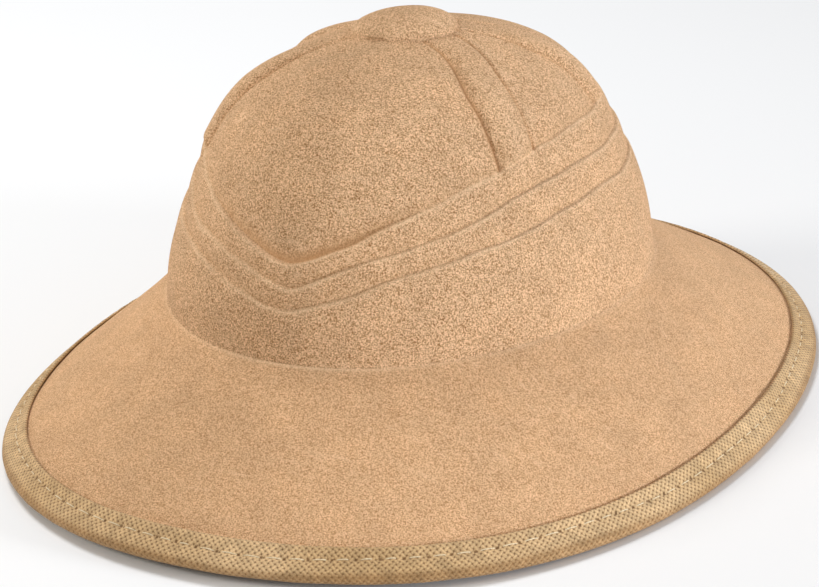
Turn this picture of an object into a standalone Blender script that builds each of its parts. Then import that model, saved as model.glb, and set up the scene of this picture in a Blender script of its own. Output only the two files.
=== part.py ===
"""Safari hat of the pith helmet kind: one pressed felt shell and the tape that binds its brim.

The hat stands on z = 0 on the edge of its brim and faces -Y. Lengths are in metres.
"""

import math
from typing import NamedTuple

import bmesh
import bpy
import numpy as np

# Crown, outside sizes
CROWN_LENGTH = 0.211
CROWN_WIDTH = 0.175
CROWN_RISE = 0.0924
CROWN_AHEAD = 0.0044
CROWN_LEAN = 0.0028
LEAN_HEIGHT = 0.30
FELT_WALL = 0.002

# Brim, measured over its binding
BRIM_LENGTH = 0.3596
BRIM_WIDTH = 0.2864
BRIM_DROP = 0.0489
BRIM_DISH = 0.0016
FRONT_LIFT = 0.0031
BACK_LIFT = 0.0037
CORNER_SWELL = 0.0325
LIFT_START = 0.35

# Button on top, pressed out of the felt
BUTTON_DIAMETER = 0.0385
BUTTON_RISE = 0.0045

# Raised welts that run from the button down to the top fold
WELT_FOOT_RISE = 0.0028
WELT_TOP_RISE = 0.0007
WELT_FOOT_WIDTH = 0.0172
WELT_TOP_WIDTH = 0.0150

# Stepped folds round the crown
FOLD_STEP = 0.0024
FOLD_RUN = 0.0010
FRONT_HOLLOW = 0.0016
HOLLOW_RUN = 0.024
HOLLOW_HALF_ANGLE = 42.0
V_ROUNDING = 2.0

# Tape sewn over the brim's edge
TAPE_WALL = 0.0009
TAPE_COVER = 0.0112
TAPE_FOOT = 0.0014
SEAT_GAP = 0.0003
TAPE_MARGIN = 0.0020

# Colours, linear, and roughness
FELT_COLOR = (0.63, 0.38, 0.21)
FELT_ROUGHNESS = 0.95
TAPE_COLOR = (0.46, 0.31, 0.15)
TAPE_ROUGHNESS = 0.90


class CrownSection(NamedTuple):
    """One level of the crown: shares of its rise above the crease and of its half sizes there."""

    height: float
    reach: float


CROWN_SECTIONS = (
    CrownSection(height=1.00, reach=0.000),
    CrownSection(height=0.94, reach=0.338),
    CrownSection(height=0.82, reach=0.621),
    CrownSection(height=0.64, reach=0.778),
    CrownSection(height=0.42, reach=0.888),
    CrownSection(height=0.20, reach=0.968),
    CrownSection(height=0.00, reach=1.000),
)


class FoldStation(NamedTuple):
    """Where the three folds stand at one angle from the front, as shares of the crown's rise."""

    angle: float
    upper: float
    middle: float
    lower: float
    upper_depth: float


FOLD_STATIONS = (
    FoldStation(angle=0, upper=0.350, middle=0.270, lower=0.190, upper_depth=1.0),
    FoldStation(angle=13, upper=0.422, middle=0.345, lower=0.250, upper_depth=1.0),
    FoldStation(angle=26, upper=0.494, middle=0.391, lower=0.306, upper_depth=0.9),
    FoldStation(angle=38, upper=0.543, middle=0.424, lower=0.334, upper_depth=0.5),
    FoldStation(angle=52, upper=0.594, middle=0.484, lower=0.365, upper_depth=0.6),
    FoldStation(angle=67, upper=0.630, middle=0.516, lower=0.394, upper_depth=1.0),
    FoldStation(angle=82, upper=0.646, middle=0.527, lower=0.410, upper_depth=1.0),
    FoldStation(angle=105, upper=0.645, middle=0.519, lower=0.398, upper_depth=1.0),
    FoldStation(angle=180, upper=0.645, middle=0.519, lower=0.398, upper_depth=1.0),
)


class Welt(NamedTuple):
    """A raised welt: its compass angle from the front at its foot and under the button."""

    foot_angle: float
    top_angle: float


WELTS = (Welt(foot_angle=57, top_angle=66), Welt(foot_angle=115, top_angle=122))
WELT_BEND = (0.25, 0.62)


class WeltLine(NamedTuple):
    """A line of the mesh along a welt: shares of its half width and of its rise."""

    across: float
    rise: float


WELT_LINES = (
    WeltLine(across=-1.00, rise=0.00),
    WeltLine(across=-0.66, rise=0.86),
    WeltLine(across=0.00, rise=1.00),
    WeltLine(across=0.66, rise=0.86),
    WeltLine(across=1.00, rise=0.00),
)


class Level(NamedTuple):
    """A ring of the mesh within a stretch: how far down it, and shares of the relief and welt."""

    share: float
    relief: float
    welt: float


BUTTON_LEVELS = (
    Level(share=0.46, relief=0.95, welt=0.0),
    Level(share=0.78, relief=0.74, welt=0.0),
    Level(share=0.94, relief=0.44, welt=0.0),
    Level(share=1.00, relief=0.00, welt=0.0),
)
BAND_LEVELS = (
    Level(share=0.22, relief=0.50, welt=0.20),
    Level(share=0.60, relief=0.15, welt=0.05),
)
WALL_LEVELS = (
    Level(share=0.12, relief=0.50, welt=0.0),
    Level(share=0.36, relief=0.28, welt=0.0),
    Level(share=0.66, relief=0.08, welt=0.0),
    Level(share=0.90, relief=0.00, welt=0.0),
    Level(share=1.00, relief=0.00, welt=0.0),
)
CREST_RELIEF = 0.38
CREST_WELT = 0.35
DOME_RINGS = 9
BUTTON_MARGIN = 0.0016
DOME_CROWDING = 1.25
FRONT_COLUMNS = 10
SIDE_COLUMNS = 6
BACK_COLUMNS = 9
BRIM_SHARES = (0.035, 0.20, 0.38, 0.57, 0.77)
SMOOTH_ANGLE = math.radians(40)
PROFILE_STEPS = 40
PROBE_ARC = 0.0004
PROBE_ANGLE = 0.01
DISH_SCALE = 27 / 4


def smooth_step(share):
    """Ease from 0 to 1 as the share goes from 0 to 1."""
    share = min(max(share, 0.0), 1.0)
    return share * share * (3 - 2 * share)


def spline_point(before, start, end, after, share):
    """Point on a Catmull-Rom span between start and end."""
    curve = 2 * start
    curve = curve + (end - before) * share
    curve = curve + (2 * before - 5 * start + 4 * end - after) * share ** 2
    curve = curve + (3 * start - before - 3 * end + after) * share ** 3
    return curve / 2


def crown_profile():
    """Arc length, reach and height of the crown's smooth profile, from the apex down."""
    knots = [np.array([section.reach, section.height]) for section in CROWN_SECTIONS]
    mirrored = knots[1] * np.array([-1, 1])
    below = 2 * knots[-1] - knots[-2] * np.array([0, 1]) - knots[-1] * np.array([1, 0])
    knots = [mirrored] + knots + [below]
    points = []
    for index in range(1, len(knots) - 2):
        for step in range(PROFILE_STEPS):
            points.append(spline_point(*knots[index - 1:index + 3], step / PROFILE_STEPS))
    points.append(knots[-2])
    shares = np.array(points)
    sizes = shares * np.array([(CROWN_LENGTH + CROWN_WIDTH) / 4, CROWN_RISE])
    steps = np.linalg.norm(np.diff(sizes, axis=0), axis=1)
    arcs = np.concatenate([[0.0], np.cumsum(steps)])
    return arcs, shares[:, 0], shares[:, 1]


PROFILE_ARCS, PROFILE_REACHES, PROFILE_HEIGHTS = crown_profile()
CREASE_ARC = PROFILE_ARCS[-1]


def crown_point(angle, arc):
    """Point of the smooth crown at an ellipse angle from the front and an arc from the apex."""
    reach = np.interp(arc, PROFILE_ARCS, PROFILE_REACHES)
    height = np.interp(arc, PROFILE_ARCS, PROFILE_HEIGHTS)
    x = CROWN_WIDTH / 2 * reach * math.sin(angle)
    y = -CROWN_LENGTH / 2 * reach * math.cos(angle) - CROWN_AHEAD
    lean = CROWN_LEAN * reach * math.sin(angle) * smooth_step(height / LEAN_HEIGHT)
    return np.array([x, y, BRIM_DROP + CROWN_RISE * height + lean])


def crown_outward(angle, arc):
    """Unit normal of the smooth crown, pointing out of the hat."""
    low = min(max(arc, 2 * PROBE_ARC), CREASE_ARC - PROBE_ARC)
    along = crown_point(angle, low + PROBE_ARC) - crown_point(angle, low - PROBE_ARC)
    around = crown_point(angle + PROBE_ANGLE, low) - crown_point(angle - PROBE_ANGLE, low)
    normal = np.cross(along, around)
    return normal / np.linalg.norm(normal)


def ellipse_angle(compass):
    """Ellipse angle of the crown for a compass angle from the front."""
    return math.atan2(math.sin(compass) / CROWN_WIDTH, math.cos(compass) / CROWN_LENGTH)


def plan_radius(compass, arc):
    """Distance of the smooth crown from its axis at a compass angle and an arc."""
    reach = np.interp(arc, PROFILE_ARCS, PROFILE_REACHES)
    across = math.sin(compass) / (CROWN_WIDTH / 2)
    along = math.cos(compass) / (CROWN_LENGTH / 2)
    return reach / math.hypot(across, along)


def station_value(angle, name):
    """Value of one column of the fold table at an ellipse angle, eased between its rows."""
    degrees = abs(math.degrees(math.remainder(angle, 2 * math.pi)))
    degrees = math.hypot(degrees, V_ROUNDING) - V_ROUNDING
    angles = [station.angle for station in FOLD_STATIONS]
    values = [getattr(station, name) for station in FOLD_STATIONS]
    row = min(int(np.searchsorted(angles, degrees, side="right")) - 1, len(angles) - 2)
    slopes = np.diff(values) / np.diff(angles)
    entry = slopes[row] if row == 0 else (slopes[row - 1] + slopes[row]) / 2
    leave = 0.0 if row == len(slopes) - 1 else (slopes[row] + slopes[row + 1]) / 2
    width = angles[row + 1] - angles[row]
    share = (degrees - angles[row]) / width
    rise = values[row + 1] - values[row]
    bend = width * (entry * (1 - share) - leave * share) - rise * (1 - 2 * share)
    return values[row] + rise * share + bend * share * (1 - share)


def fold_arcs(angle):
    """Arcs from the apex down to the upper, middle and lower folds at an ellipse angle."""
    heights = [station_value(angle, name) for name in ("upper", "middle", "lower")]
    return [float(np.interp(-height, -PROFILE_HEIGHTS, PROFILE_ARCS)) for height in heights]


def button_arc(angle):
    """Arc from the apex to the foot of the round button at an ellipse angle."""
    across = CROWN_WIDTH / 2 * math.sin(angle)
    along = CROWN_LENGTH / 2 * math.cos(angle)
    reach = BUTTON_DIAMETER / 2 / math.hypot(across, along)
    return float(np.interp(reach, PROFILE_REACHES, PROFILE_ARCS))


def dome_sink(angle, distance, depth):
    """How far the dome sinks in at a distance above the recess of the upper fold."""
    facing = abs(math.degrees(math.remainder(angle, 2 * math.pi))) / HOLLOW_HALF_ANGLE
    front = smooth_step(1 - facing)
    near = max(0.0, 1 - distance / HOLLOW_RUN) ** 2
    return near * (FOLD_STEP / 2 * depth + FRONT_HOLLOW * front)


def crown_levels(angle):
    """Arc, relief and share of the welt for each ring of the crown at an ellipse angle."""
    upper, middle, lower = fold_arcs(angle)
    depth = station_value(angle, "upper_depth")
    foot = button_arc(angle)
    levels = [(level.share * foot, level.relief * BUTTON_RISE, level.welt) for level in BUTTON_LEVELS]
    start = foot + BUTTON_MARGIN
    recess = upper - FOLD_RUN
    for ring in range(DOME_RINGS + 1):
        share = 1 - (1 - ring / DOME_RINGS) ** DOME_CROWDING
        arc = start + (recess - start) * share
        levels.append((arc, -dome_sink(angle, recess - arc, depth), 1.0))
    levels.append((upper + FOLD_RUN, CREST_RELIEF * FOLD_STEP * depth, CREST_WELT))
    for top, bottom, top_depth in ((upper, middle, depth), (middle, lower, 1.0)):
        crest = top + FOLD_RUN
        recess = bottom - FOLD_RUN
        for level in BAND_LEVELS:
            arc = crest + (recess - crest) * level.share
            levels.append((arc, level.relief * FOLD_STEP * top_depth, level.welt if top == upper else 0.0))
        levels.append((recess, -FOLD_STEP / 2, 0.0))
        levels.append((bottom + FOLD_RUN, CREST_RELIEF * FOLD_STEP, 0.0))
    crest = lower + FOLD_RUN
    for level in WALL_LEVELS:
        levels.append((crest + (CREASE_ARC - crest) * level.share, level.relief * FOLD_STEP, 0.0))
    return levels


def welt_bend(arc):
    """How far a welt has turned from its foot, 0, towards its top, 1, at an arc."""
    share = float(np.interp(arc, PROFILE_ARCS, PROFILE_REACHES))
    return smooth_step((WELT_BEND[1] - share) / (WELT_BEND[1] - WELT_BEND[0]))


def welt_angles(welt, ring):
    """Compass angle of a welt's middle and its half angle on one ring."""
    foot = math.radians(welt.foot_angle)
    arc = max(crown_levels(ellipse_angle(foot))[ring][0], button_arc(ellipse_angle(foot)))
    radius = plan_radius(foot, arc)
    bend = welt_bend(arc)
    middle = foot + math.radians(welt.top_angle - welt.foot_angle) * bend
    width = WELT_FOOT_WIDTH + (WELT_TOP_WIDTH - WELT_FOOT_WIDTH) * bend
    return middle, math.atan(width / 2 / radius)


def half_columns(ring):
    """Compass angle and welt share of each column of one ring, from the front round to the back."""
    columns = []
    start = 0.0
    for welt, count in zip(WELTS, (FRONT_COLUMNS, SIDE_COLUMNS)):
        middle, half = welt_angles(welt, ring)
        for step in range(count):
            columns.append((start + (middle - half - start) * step / count, 0.0))
        columns += [(middle + half * line.across, line.rise) for line in WELT_LINES[:-1]]
        start = middle + half
    for step in range(BACK_COLUMNS + 1):
        columns.append((start + (math.pi - start) * step / BACK_COLUMNS, 0.0))
    return columns


def ring_columns(ring):
    """Ellipse angle and welt share of every column of one ring, all the way round."""
    half = half_columns(ring)
    mirrored = [(2 * math.pi - compass, rise) for compass, rise in half[-2:0:-1]]
    return [(ellipse_angle(compass), rise) for compass, rise in half + mirrored]


def crown_rings():
    """Rings of points on the outside of the crown, from the button down to the crease."""
    rings = []
    for ring in range(len(crown_levels(0.0))):
        points = []
        for angle, rise in ring_columns(ring):
            arc, relief, welt = crown_levels(angle)[ring]
            height = WELT_FOOT_RISE + (WELT_TOP_RISE - WELT_FOOT_RISE) * welt_bend(arc)
            lift = relief + height * rise * welt
            points.append(crown_point(angle, arc) + crown_outward(angle, arc) * lift)
        rings.append(points)
    return rings


def edge_lift(angle):
    """Height of the brim's lowest line over the floor: none at the sides, some front and back."""
    facing = math.cos(angle)
    height = FRONT_LIFT if facing > 0 else BACK_LIFT
    return height * max(0.0, (abs(facing) - LIFT_START) / (1 - LIFT_START)) ** 2


def brim_outline(angle):
    """Plan point of the finished brim's outline at an ellipse angle."""
    swell = 1 + CORNER_SWELL * math.sin(2 * angle) ** 2
    x = BRIM_WIDTH / 2 * swell * math.sin(angle)
    return np.array([x, -BRIM_LENGTH / 2 * swell * math.cos(angle)])


def felt_edge(angle):
    """Point of the felt's upper edge, inside the binding that makes the outline."""
    crease = crown_point(angle, CREASE_ARC)
    outline = brim_outline(angle)
    run = outline - crease[:2]
    slope = math.atan2(BRIM_DROP - edge_lift(angle) - FELT_WALL, np.linalg.norm(run))
    outer = SEAT_GAP + TAPE_WALL
    back = outer * math.cos(slope) + SEAT_GAP * math.sin(slope)
    depth = FELT_WALL + outer - TAPE_FOOT * math.sin(slope)
    rise = outer * math.sin(slope) + depth * math.cos(slope)
    plan = outline - run / np.linalg.norm(run) * back
    return np.array([plan[0], plan[1], edge_lift(angle) + rise])


def brim_point(angle, share):
    """Point of the brim's upper face, from the crease at share 0 to the felt's edge at 1.

    The dish is deepest a third of the way out, and gone with its slope at the edge.
    """
    crease = crown_point(angle, CREASE_ARC)
    point = crease + (felt_edge(angle) - crease) * share
    point[2] -= BRIM_DISH * DISH_SCALE * share * (1 - share) ** 2
    return point


def brim_rings(angles):
    """Rings of points on the brim, from beside the crease out to the felt's edge."""
    rings = [[brim_point(angle, share) for angle in angles] for share in BRIM_SHARES]
    tape_line = []
    for angle in angles:
        length = np.linalg.norm(felt_edge(angle) - crown_point(angle, CREASE_ARC))
        tape_line.append(brim_point(angle, 1 - (TAPE_COVER + TAPE_MARGIN) / length))
    rings.append(tape_line)
    rings.append([felt_edge(angle) for angle in angles])
    return rings


def tape_sections(angles, inner_ring, edge_ring):
    """Closed sections of the folded tape, one for each column of the brim."""
    count = len(edge_ring)
    outer = SEAT_GAP + TAPE_WALL
    under = -FELT_WALL
    sections = []
    for index in range(count):
        edge = edge_ring[index]
        out = edge - inner_ring[index]
        out = out / np.linalg.norm(out)
        around = edge_ring[(index + 1) % count] - edge_ring[index - 1]
        up = np.cross(out, around)
        up = up / np.linalg.norm(up)
        level_out = math.hypot(out[0], out[1])
        steep = -out[2]
        toe = (outer, under - outer + TAPE_FOOT * steep)
        heel = (outer - TAPE_FOOT * level_out, under - outer)
        profile = [(-TAPE_COVER, SEAT_GAP), (SEAT_GAP, SEAT_GAP)]
        profile += [(SEAT_GAP, under - SEAT_GAP), (-TAPE_COVER, under - SEAT_GAP)]
        profile += [(-TAPE_COVER, under - outer), heel, toe]
        profile += [(outer, SEAT_GAP), (SEAT_GAP, outer), (-TAPE_COVER, outer)]
        points = [edge + out * along + up * height for along, height in profile]
        for foot in (profile.index(heel), profile.index(toe)):
            points[foot][2] = edge_lift(angles[index])
        sections.append(points)
    return sections


def loft(mesh, loops, closed):
    """Skin loops of points with four-sided faces, and return the loops of vertices."""
    rows = [[mesh.verts.new(point) for point in loop] for loop in loops]
    spans = list(zip(rows, rows[1:]))
    if closed:
        spans.append((rows[-1], rows[0]))
    for upper, lower in spans:
        for index, vertex in enumerate(upper):
            after = (index + 1) % len(upper)
            mesh.faces.new((vertex, lower[index], lower[after], upper[after]))
    return rows


def material(name, color, roughness):
    """Principled material with one colour and roughness."""
    made = bpy.data.materials.new(name)
    made.use_nodes = True
    shader = made.node_tree.nodes["Principled BSDF"]
    shader.inputs["Base Color"].default_value = (*color, 1.0)
    shader.inputs["Roughness"].default_value = roughness
    made.diffuse_color = (*color, 1.0)
    return made


def make_object(name, mesh, finish, collection):
    """Turn a bmesh into a smooth shaded object of the hat."""
    data = bpy.data.meshes.new(name)
    mesh.to_mesh(data)
    mesh.free()
    data.materials.append(finish)
    data.shade_smooth()
    data.set_sharp_from_angle(angle=SMOOTH_ANGLE)
    made = bpy.data.objects.new(name, data)
    collection.objects.link(made)
    return made


def make_shell(rings, collection):
    """The felt shell: the outside of the crown and brim, thickened inwards."""
    mesh = bmesh.new()
    rows = loft(mesh, rings, closed=False)
    apex = crown_point(0.0, 0.0)
    apex[2] += BUTTON_RISE
    top = mesh.verts.new(apex)
    first = rows[0]
    for index, vertex in enumerate(first):
        mesh.faces.new((top, vertex, first[(index + 1) % len(first)]))
    finish = material("felt", FELT_COLOR, FELT_ROUGHNESS)
    shell = make_object("felt_shell", mesh, finish, collection)
    wall = shell.modifiers.new("wall", "SOLIDIFY")
    wall.thickness = FELT_WALL
    wall.offset = -1.0
    wall.use_even_offset = True


def make_binding(sections, collection):
    """The tape folded over the felt's edge, one closed loop."""
    mesh = bmesh.new()
    loft(mesh, sections, closed=True)
    bmesh.ops.recalc_face_normals(mesh, faces=mesh.faces)
    finish = material("tape", TAPE_COLOR, TAPE_ROUGHNESS)
    make_object("edge_binding", mesh, finish, collection)


def main():
    """Clear the scene and build the hat."""
    for existing in list(bpy.data.objects):
        bpy.data.objects.remove(existing, do_unlink=True)
    collection = bpy.data.collections.new("safari_hat")
    bpy.context.scene.collection.children.link(collection)
    crown = crown_rings()
    angles = [angle for angle, _ in ring_columns(len(crown) - 1)]
    brim = brim_rings(angles)
    make_shell(crown + brim, collection)
    make_binding(tape_sections(angles, brim[-2], brim[-1]), collection)


main()
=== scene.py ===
"""Safari hat: one pressed shell of flocked felt, the bias tape sewn over its brim, and the thread.

The hat stands on z = 0 and faces -Y. Lengths are in metres. The felt keeps the sizes of the solid
model: the same crown, folds, welts and brim, drawn with a finer sheet.
"""

import logging
import math
from dataclasses import dataclass
from enum import Enum
from functools import cached_property
from typing import Callable, NamedTuple

import bmesh
import bpy
import numpy as np
from mathutils import Matrix, Vector, noise


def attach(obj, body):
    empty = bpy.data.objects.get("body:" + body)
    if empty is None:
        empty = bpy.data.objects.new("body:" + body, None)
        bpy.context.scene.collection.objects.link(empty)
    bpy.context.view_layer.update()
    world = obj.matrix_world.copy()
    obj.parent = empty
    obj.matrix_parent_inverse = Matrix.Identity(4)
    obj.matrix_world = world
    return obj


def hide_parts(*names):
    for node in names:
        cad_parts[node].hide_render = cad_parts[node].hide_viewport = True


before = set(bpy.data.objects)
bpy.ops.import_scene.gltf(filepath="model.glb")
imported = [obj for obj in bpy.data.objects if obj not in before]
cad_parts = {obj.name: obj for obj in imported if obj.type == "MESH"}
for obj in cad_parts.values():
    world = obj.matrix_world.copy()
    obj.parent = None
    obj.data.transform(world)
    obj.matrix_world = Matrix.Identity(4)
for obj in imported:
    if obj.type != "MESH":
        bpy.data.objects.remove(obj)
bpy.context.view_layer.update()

logger = logging.getLogger("safari_hat")

Socket = bpy.types.NodeSocket
Array = np.ndarray
Color = tuple[float, float, float, float]
Range = tuple[float, float]

WELD_DISTANCE = 1e-6
QUARTER_DEGREES = np.linspace(0.0, 180.0, 721)
DISH_SCALE = 27 / 4  # makes the greatest value of share * (1 - share) ** 2 equal 1
SOFT_RANGE: Range = (0.3, 0.7)
MIX_COLOR_INPUTS = (0, 6, 7)
MIX_COLOR_RESULT = 2


class SolidNode(Enum):
    """Solids of the model that the dressed pieces stand for."""

    SHELL = "felt_shell"
    BINDING = "edge_binding"


class Slot(Enum):
    """Material slots of the record."""

    FELT = "felt"
    TAPE = "tape"


class Stretch(Enum):
    """Stretches of the felt from the apex down and out to the brim's edge."""

    BUTTON = "button"
    DOME = "dome"
    UPPER_LIP = "upper lip"
    UPPER_BAND = "upper band"
    MIDDLE_LIP = "middle lip"
    LOWER_BAND = "lower band"
    LOWER_LIP = "lower lip"
    WALL = "wall"
    BRIM = "brim"


class TapeFace(Enum):
    """The two faces of the folded tape, over and under the brim."""

    TOP = 1
    UNDER = -1


def smooth_step(share: Array | float) -> Array:
    """Ease from 0 to 1.

    Args:
        share: Values that are held between 0 and 1.

    Returns:
        The eased values, level at both ends.
    """
    held = np.clip(share, 0.0, 1.0)
    return held * held * (3 - 2 * held)


def crowded(count: int, ends: float) -> Array:
    """Shares from 0 to 1 that stand closer together at both ends.

    Args:
        count: Number of steps.
        ends: Spacing at the ends as a share of an even spacing.

    Returns:
        count + 1 rising shares.
    """
    even = np.linspace(0.0, 1.0, count + 1)
    return ends * even + (1 - ends) * smooth_step(even)


def unit(vectors: Array) -> Array:
    """Vectors scaled to a length of one."""
    return vectors / np.linalg.norm(vectors, axis=-1, keepdims=True)


def from_front(angle: Array) -> Array:
    """Angles from the front, above 0 towards the wearer's left."""
    return np.arctan2(np.sin(angle), np.cos(angle))


def hump(offset: Array, sharpness: float = 1.0) -> Array:
    """Bell curve that is 1 where the offset is 0."""
    return np.exp(-(offset**2) * sharpness)


def line_lengths(points: Array) -> Array:
    """Lengths from the first point along the line through them all."""
    return np.concatenate([[0.0], np.cumsum(np.linalg.norm(np.diff(points, axis=0), axis=1))])


@dataclass(frozen=True)
class Wave:
    """One wave of a line led by hand: how many go round the hat, its phase and its share."""

    count: int
    phase: float
    share: float


def waver(angle: Array, waves: tuple[Wave, ...], shift: float = 1.0) -> Array:
    """Sum of a few waves round the hat.

    Args:
        angle: Angles round the hat.
        waves: The waves.
        shift: Factor on their phases, so that two lines differ.

    Returns:
        One value for each angle.
    """
    return sum(wave.share * np.sin(wave.count * angle + wave.phase * shift) for wave in waves)


def smooth_noise(points: Array, size: float, seed: float) -> Array:
    """Soft noise between about -1 and 1 at each point.

    Args:
        points: Places in metres, one a row.
        size: Width of the noise's swells, in metres.
        seed: Shift that gives each use its own noise.

    Returns:
        One value for each point.
    """
    return np.array([noise.noise(Vector(point) / size + Vector((seed, seed, seed))) for point in points])


def rolled_sheet(places: Array, marks: dict[str, Array] | None = None) -> bmesh.types.BMesh:
    """A grid whose corners are moved to the given places.

    Args:
        places: Points as rings by columns by three. The last column repeats the first.
        marks: Attributes of the corners by name, as rings by columns.

    Returns:
        The sheet, with the grid's own shares in its UV map.
    """
    rings, columns = places.shape[0] - 1, places.shape[1] - 1
    sheet = bmesh.new()
    sheet.loops.layers.uv.new("UVMap")
    layers = [(sheet.verts.layers.float.new(name), values) for name, values in (marks or {}).items()]
    bmesh.ops.create_grid(sheet, x_segments=columns, y_segments=rings, size=0.5, calc_uvs=True)
    for corner in sheet.verts:
        column = round((corner.co.x + 0.5) * columns)
        ring = round((corner.co.y + 0.5) * rings)
        corner.co = places[ring, column]
        for layer, values in layers:
            corner[layer] = values[ring, column]
    return sheet


def weld(sheet: bmesh.types.BMesh) -> None:
    """Join the corners of a sheet that meet, and turn its faces one way."""
    bmesh.ops.remove_doubles(sheet, verts=sheet.verts, dist=WELD_DISTANCE)
    bmesh.ops.recalc_face_normals(sheet, faces=sheet.faces)


def finished(name: str, sheet: bmesh.types.BMesh, finishes: list[bpy.types.Material]) -> bpy.types.Object:
    """Make a smooth shaded object of a mesh and link it into the scene.

    Args:
        name: Name of the piece.
        sheet: Its mesh, which is used up.
        finishes: Its materials, by slot.

    Returns:
        The new object.
    """
    data = bpy.data.meshes.new(name)
    sheet.to_mesh(data)
    sheet.free()
    for finish in finishes:
        data.materials.append(finish)
    data.shade_smooth()
    piece = bpy.data.objects.new(name, data)
    bpy.context.scene.collection.objects.link(piece)
    return piece


@dataclass(frozen=True)
class CrownSection:
    """One level of the crown: shares of its rise above the crease and of its half sizes there."""

    height: float
    reach: float


@dataclass(frozen=True)
class CrownForm:
    """The smooth pressed form of the crown, before its folds, welts and button."""

    length: float = 0.211
    width: float = 0.175
    rise: float = 0.0924
    drop: float = 0.0489
    ahead: float = 0.0044
    lean: float = 0.0028
    lean_height: float = 0.30
    probe_arc: float = 0.0004
    probe_angle: float = 0.01
    steps: int = 40
    sections: tuple[CrownSection, ...] = (
        CrownSection(height=1.00, reach=0.000),
        CrownSection(height=0.94, reach=0.338),
        CrownSection(height=0.82, reach=0.621),
        CrownSection(height=0.64, reach=0.778),
        CrownSection(height=0.42, reach=0.888),
        CrownSection(height=0.20, reach=0.968),
        CrownSection(height=0.00, reach=1.000),
    )

    @cached_property
    def profile(self) -> tuple[Array, Array, Array]:
        """The profile from the apex down to the crease, on a smooth curve through the sections.

        Returns:
            Arc lengths, and the reaches and heights there as shares.
        """
        knots = [np.array([section.reach, section.height]) for section in self.sections]
        below = np.array([knots[-1][0], 2 * knots[-1][1] - knots[-2][1]])
        knots = [knots[1] * np.array([-1, 1])] + knots + [below]
        points = []
        for before, start, end, after in zip(knots, knots[1:], knots[2:], knots[3:]):
            for share in np.arange(self.steps) / self.steps:
                curve = 2 * start + (end - before) * share
                curve = curve + (2 * before - 5 * start + 4 * end - after) * share**2
                curve = curve + (3 * start - before - 3 * end + after) * share**3
                points.append(curve / 2)
        points.append(knots[-2])
        shares = np.array(points)
        sizes = shares * np.array([(self.length + self.width) / 4, self.rise])
        return line_lengths(sizes), shares[:, 0], shares[:, 1]

    @property
    def crease_arc(self) -> float:
        """Arc from the apex down to the crease where the brim starts."""
        return float(self.profile[0][-1])

    def point(self, angle: Array, arc: Array) -> Array:
        """Points of the smooth crown.

        Args:
            angle: Ellipse angles from the front, in radians.
            arc: Arcs from the apex.

        Returns:
            One point for each angle and arc.
        """
        arcs, reaches, heights = self.profile
        reach = np.interp(arc, arcs, reaches)
        height = np.interp(arc, arcs, heights)
        x = self.width / 2 * reach * np.sin(angle)
        y = -self.length / 2 * reach * np.cos(angle) - self.ahead
        lean = self.lean * reach * np.sin(angle) * smooth_step(height / self.lean_height)
        return np.stack([x, y, self.drop + self.rise * height + lean], axis=-1)

    def outward(self, angle: Array, arc: Array) -> Array:
        """Unit normals of the smooth crown.

        Args:
            angle: Ellipse angles from the front, in radians.
            arc: Arcs from the apex.

        Returns:
            One vector out of the hat for each angle and arc.
        """
        low = np.clip(arc, 2 * self.probe_arc, self.crease_arc - self.probe_arc)
        along = self.point(angle, low + self.probe_arc) - self.point(angle, low - self.probe_arc)
        around = self.point(angle + self.probe_angle, low) - self.point(angle - self.probe_angle, low)
        return unit(np.cross(along, around))

    def ellipse_angle(self, compass: Array) -> Array:
        """Ellipse angles for compass angles from the front."""
        return np.arctan2(np.sin(compass) / self.width, np.cos(compass) / self.length)

    def radius(self, compass: Array, arc: Array) -> Array:
        """Distances from the axis of the crown.

        Args:
            compass: Compass angles from the front.
            arc: Arcs from the apex.

        Returns:
            One distance for each angle and arc.
        """
        reach = np.interp(arc, self.profile[0], self.profile[1])
        across = np.sin(compass) / (self.width / 2)
        along = np.cos(compass) / (self.length / 2)
        return reach / np.hypot(across, along)

    def arc_at_height(self, height: Array) -> Array:
        """Arcs from the apex down to shares of the crown's rise."""
        return np.interp(-height, -self.profile[2], self.profile[0])

    def arc_at_reach(self, angle: Array, distance: float) -> Array:
        """Arcs from the apex out to a distance from the axis, at ellipse angles."""
        size = np.hypot(self.width / 2 * np.sin(angle), self.length / 2 * np.cos(angle))
        return np.interp(distance / size, self.profile[1], self.profile[0])


class Fold(Enum):
    """Columns of the fold table."""

    UPPER = "upper"
    MIDDLE = "middle"
    LOWER = "lower"
    UPPER_DEPTH = "upper_depth"


@dataclass(frozen=True)
class FoldStation:
    """Where the folds stand at one angle from the front, as shares of the crown's rise."""

    angle: float
    upper: float
    middle: float
    lower: float
    upper_depth: float


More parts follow.
